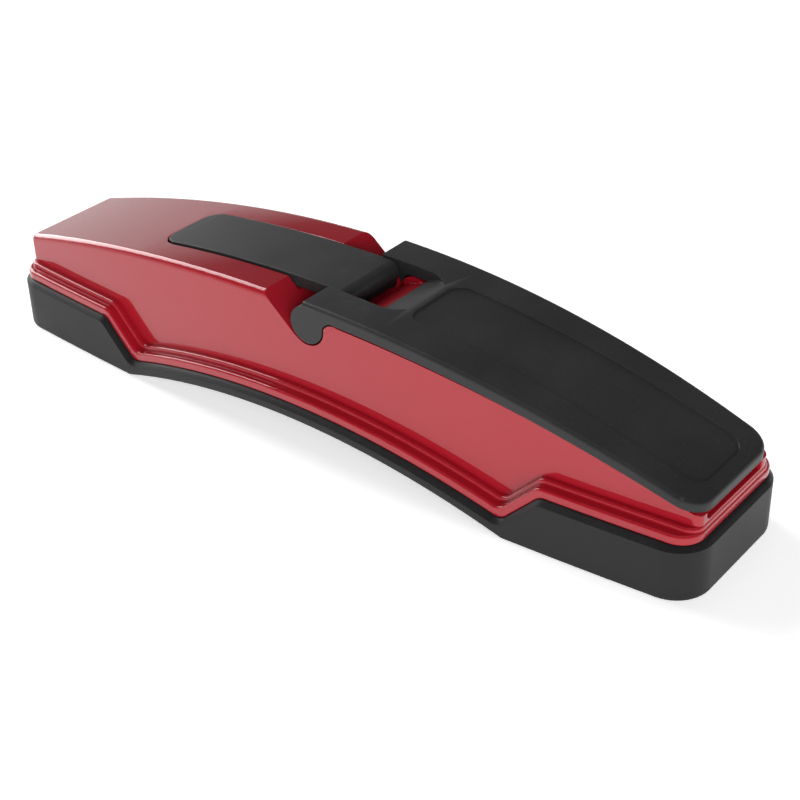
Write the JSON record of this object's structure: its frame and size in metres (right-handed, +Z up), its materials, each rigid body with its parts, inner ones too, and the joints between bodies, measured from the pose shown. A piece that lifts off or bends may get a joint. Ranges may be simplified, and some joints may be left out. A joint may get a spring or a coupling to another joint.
{
  "type": "edge tuning tool",
  "caption": "Palm-sized bowed edge tuning tool: red shell in a black rubber boot, with a long file lever and a short stone arm that fold on one hinge pin.",
  "frame": {"origin": "on the floor, under the middle of the boot", "axes": "+X along the tool towards the long lever's free end, +Y across it, +Z up from the sole"},
  "size_m": [0.165, 0.0394, 0.0307],
  "materials": {
    "red_shell": "glossy metallic red",
    "black_rubber": "satin moulded rubber",
    "black_plastic": "satin black plastic",
    "frame_plastic": "plain black plastic",
    "screw_steel": "zinc-plated steel",
    "insert_brass": "brass",
    "pin_steel": "ground steel",
    "spring_steel": "spring steel sheet",
    "washer_nylon": "black nylon",
    "bush_bronze": "sintered bronze",
    "pad_rubber": "dark foam rubber",
    "holder_aluminium": "anodised aluminium",
    "file_steel": "hardened steel with cross-cut teeth",
    "stone_grey": "gritty bonded abrasive"
  },
  "bodies": {
    "base": {"upper_shell": "red_shell", "rubber_boot": "black_rubber", "base_frame": "frame_plastic", "frame_screws": "screw_steel", "threaded_inserts": "insert_brass", "hinge_pin": "pin_steel", "friction_washers": "washer_nylon", "lever_catch": "spring_steel"},
    "lever": {"file_lever": "black_plastic", "lever_bushes": "bush_bronze", "file_backing_pad": "pad_rubber", "file_holder": "holder_aluminium", "edge_file": "file_steel", "file_screws": "screw_steel"},
    "arm": {"stone_arm": "black_plastic", "arm_bush": "bush_bronze", "stone_backing_pad": "pad_rubber", "stone_holder": "holder_aluminium", "deburring_stone": "stone_grey", "stone_screws": "screw_steel"}
  },
  "joints": [
    {"name": "lever_hinge", "type": "hinge", "parent": "base", "child": "lever", "pos_m": [0.0008, 0, 0.0262], "axis": [0, -1, 0], "range_deg": [0, 95]},
    {"name": "arm_hinge", "type": "hinge", "parent": "base", "child": "arm", "pos_m": [0.0008, 0, 0.0262], "axis": [0, 1, 0], "range_deg": [0, 45]}
  ]
}
